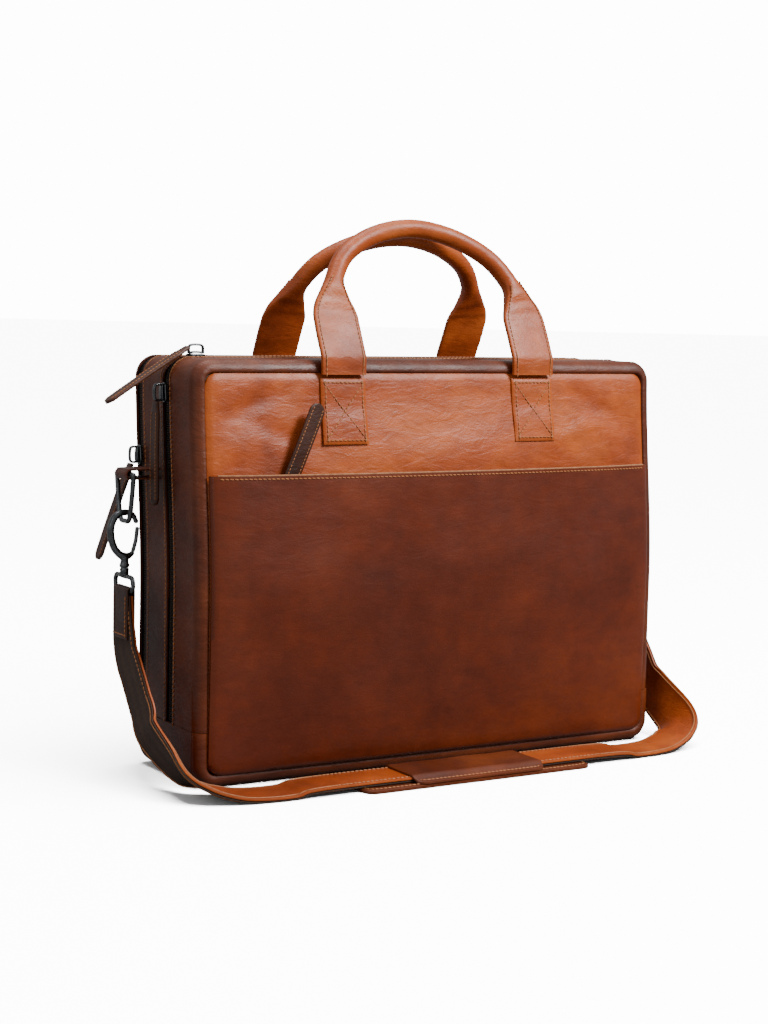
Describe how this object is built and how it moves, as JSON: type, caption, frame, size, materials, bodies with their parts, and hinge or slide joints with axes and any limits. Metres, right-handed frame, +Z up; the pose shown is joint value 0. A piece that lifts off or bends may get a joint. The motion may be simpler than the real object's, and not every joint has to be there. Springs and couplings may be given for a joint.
{
  "type": "leather briefcase",
  "caption": "Leather briefcase with two zipped compartments, a zipped front pocket, a pair of rolled carrying handles and a clip-on shoulder strap with a sliding pad.",
  "frame": {"origin": "middle of the underside that the bag stands on", "axes": "+X along the bag's width, +Y from the front to the back, +Z up"},
  "size_m": [0.4825, 0.1808, 0.4039],
  "materials": {
    "leather": "smooth full-grain cowhide, waxed, tan to reddish brown",
    "dark_leather": "darker stitched leather",
    "lining": "woven cotton lining",
    "board": "stiffening board",
    "zip_tape": "woven zip tape with coil teeth",
    "webbing": "woven webbing",
    "gunmetal": "dark polished gunmetal plating"
  },
  "bodies": {
    "main_section": {"bottom_panel": "leather", "base_board": "board", "middle_gusset": "leather", "laptop_divider": "lining", "front_zip_inner_tape": "zip_tape", "rear_zip_inner_tape": "zip_tape", "left_ring_tab": "leather", "right_ring_tab": "leather", "left_hook_eye": "gunmetal", "right_hook_eye": "gunmetal", "strap_end_left": "leather", "strap_end_right": "leather", "strap_leather": "leather", "strap_webbing": "webbing"},
    "front_section": {"front_panel": "leather", "front_lining": "lining", "inner_slip_pocket": "lining", "front_pocket": "leather", "front_pocket_zip_tape": "zip_tape", "front_gusset": "leather", "front_zip_outer_tape": "zip_tape", "front_left_handle_patch": "leather", "front_right_handle_patch": "leather"},
    "rear_section": {"rear_panel": "leather", "rear_lining": "lining", "rear_gusset": "leather", "rear_zip_outer_tape": "zip_tape", "rear_left_handle_patch": "leather", "rear_right_handle_patch": "leather"},
    "front_handle": {"front_handle": "leather"},
    "rear_handle": {"rear_handle": "leather"},
    "front_pocket_slider": {"front_pocket_slider": "gunmetal"},
    "front_pocket_pull": {"front_pocket_pull": "dark_leather"},
    "front_zip_side_slider": {"front_zip_side_slider": "gunmetal"},
    "front_zip_side_pull": {"front_zip_side_pull": "dark_leather"},
    "front_zip_top_slider": {"front_zip_top_slider": "gunmetal"},
    "front_zip_top_pull": {"front_zip_top_pull": "dark_leather"},
    "rear_zip_side_slider": {"rear_zip_side_slider": "gunmetal"},
    "rear_zip_side_pull": {"rear_zip_side_pull": "dark_leather"},
    "left_ring": {"left_ring": "gunmetal"},
    "right_ring": {"right_ring": "gunmetal"},
    "left_snap_hook": {"left_snap_hook": "gunmetal"},
    "right_snap_hook": {"right_snap_hook": "gunmetal"},
    "left_hook_gate": {"left_hook_gate": "gunmetal"},
    "right_hook_gate": {"right_hook_gate": "gunmetal"},
    "shoulder_pad": {"shoulder_pad_sole": "leather", "shoulder_pad_cover": "leather"},
    "strap_adjuster": {"strap_adjuster": "gunmetal"}
  },
  "joints": [
    {"name": "front_section_opening", "type": "hinge", "parent": "main_section", "child": "front_section", "pos_m": [0, -0.049, 0.006], "axis": [1, 0, 0], "range_deg": [0, 30]},
    {"name": "rear_section_opening", "type": "hinge", "parent": "main_section", "child": "rear_section", "pos_m": [0, 0.049, 0.006], "axis": [-1, 0, 0], "range_deg": [0, 25]},
    {"name": "front_handle_fold", "type": "hinge", "parent": "front_section", "child": "front_handle", "pos_m": [0, -0.04132, 0.2895], "axis": [1, 0, 0], "range_deg": [0, 90]},
    {"name": "rear_handle_fold", "type": "hinge", "parent": "rear_section", "child": "rear_handle", "pos_m": [0, 0.06506, 0.2895], "axis": [-1, 0, 0], "range_deg": [0, 90]},
    {"name": "front_pocket_slide", "type": "slide", "parent": "front_section", "child": "front_pocket_slider", "axis": [1, 0, 0], "range_m": [0, 0.25]},
    {"name": "front_pocket_pull_swing", "type": "hinge", "parent": "front_pocket_slider", "child": "front_pocket_pull", "pos_m": [-0.133, -0.0515, 0.209], "axis": [0, 1, 0], "range_deg": [-30, 10]},
    {"name": "front_zip_side_slide", "type": "slide", "parent": "main_section", "child": "front_zip_side_slider", "axis": [0, -0.061, -0.9981], "range_m": [0, 0.185]},
    {"name": "front_zip_side_pull_swing", "type": "hinge", "parent": "front_zip_side_slider", "child": "front_zip_side_pull", "pos_m": [-0.2074, 0.0063, 0.26975], "axis": [0, 1, 0], "range_deg": [0, 8]},
    {"name": "front_zip_top_slide", "type": "slide", "parent": "main_section", "child": "front_zip_top_slider", "axis": [1, 0, 0], "range_m": [0, 0.09]},
    {"name": "front_zip_top_pull_lift", "type": "hinge", "parent": "front_zip_top_slider", "child": "front_zip_top_pull", "pos_m": [-0.18175, 0.007, 0.3074], "axis": [0, 1, 0], "range_deg": [0, 108]},
    {"name": "rear_zip_side_slide", "type": "slide", "parent": "main_section", "child": "rear_zip_side_slider", "axis": [0, -0.0533, -0.9986], "range_m": [0, 0.026]},
    {"name": "rear_zip_side_pull_swing", "type": "hinge", "parent": "rear_zip_side_slider", "child": "rear_zip_side_pull", "pos_m": [-0.2074, 0.04737, 0.22275], "axis": [0, 1, 0], "range_deg": [-18, 90]},
    {"name": "left_ring_swing", "type": "hinge", "parent": "main_section", "child": "left_ring", "pos_m": [-0.2225, 0.02366, 0.2165], "axis": [0, 1, 0], "range_deg": [-5, 5]},
    {"name": "left_hook_swivel", "type": "hinge", "parent": "main_section", "child": "left_snap_hook", "pos_m": [-0.2225, 0.02366, 0.15], "axis": [0, 0, 1], "range_deg": [-15, 15]},
    {"name": "left_hook_gate_press", "type": "hinge", "parent": "left_snap_hook", "child": "left_hook_gate", "pos_m": [-0.2159, 0.02366, 0.16065], "axis": [0, -1, 0], "range_deg": [0, 22], "stiffness_Nm_per_rad": 0.02},
    {"name": "right_ring_swing", "type": "hinge", "parent": "main_section", "child": "right_ring", "pos_m": [0.2225, 0.02366, 0.2165], "axis": [0, 1, 0], "range_deg": [-5, 5]},
    {"name": "right_hook_swivel", "type": "hinge", "parent": "main_section", "child": "right_snap_hook", "pos_m": [0.2225, 0.02366, 0.15], "axis": [0, 0, 1], "range_deg": [-15, 15]},
    {"name": "right_hook_gate_press", "type": "hinge", "parent": "right_snap_hook", "child": "right_hook_gate", "pos_m": [0.2159, 0.02366, 0.16065], "axis": [0, 1, 0], "range_deg": [0, 22], "stiffness_Nm_per_rad": 0.02},
    {"name": "shoulder_pad_slide", "type": "slide", "parent": "main_section", "child": "shoulder_pad", "axis": [1, 0, 0], "range_m": [-0.02, 0.02]},
    {"name": "strap_adjuster_slide", "type": "slide", "parent": "main_section", "child": "strap_adjuster", "axis": [0, 0.6207, 0.7841], "range_m": [-0.005, 0.005]}
  ],
  "couplings": [
    {"joint": "front_zip_side_slide", "follows": "front_section_opening", "m_per_rad": 0.35331},
    {"joint": "front_zip_top_pull_lift", "follows": "front_zip_top_slide", "rad_per_m": 20.943}
  ]
}
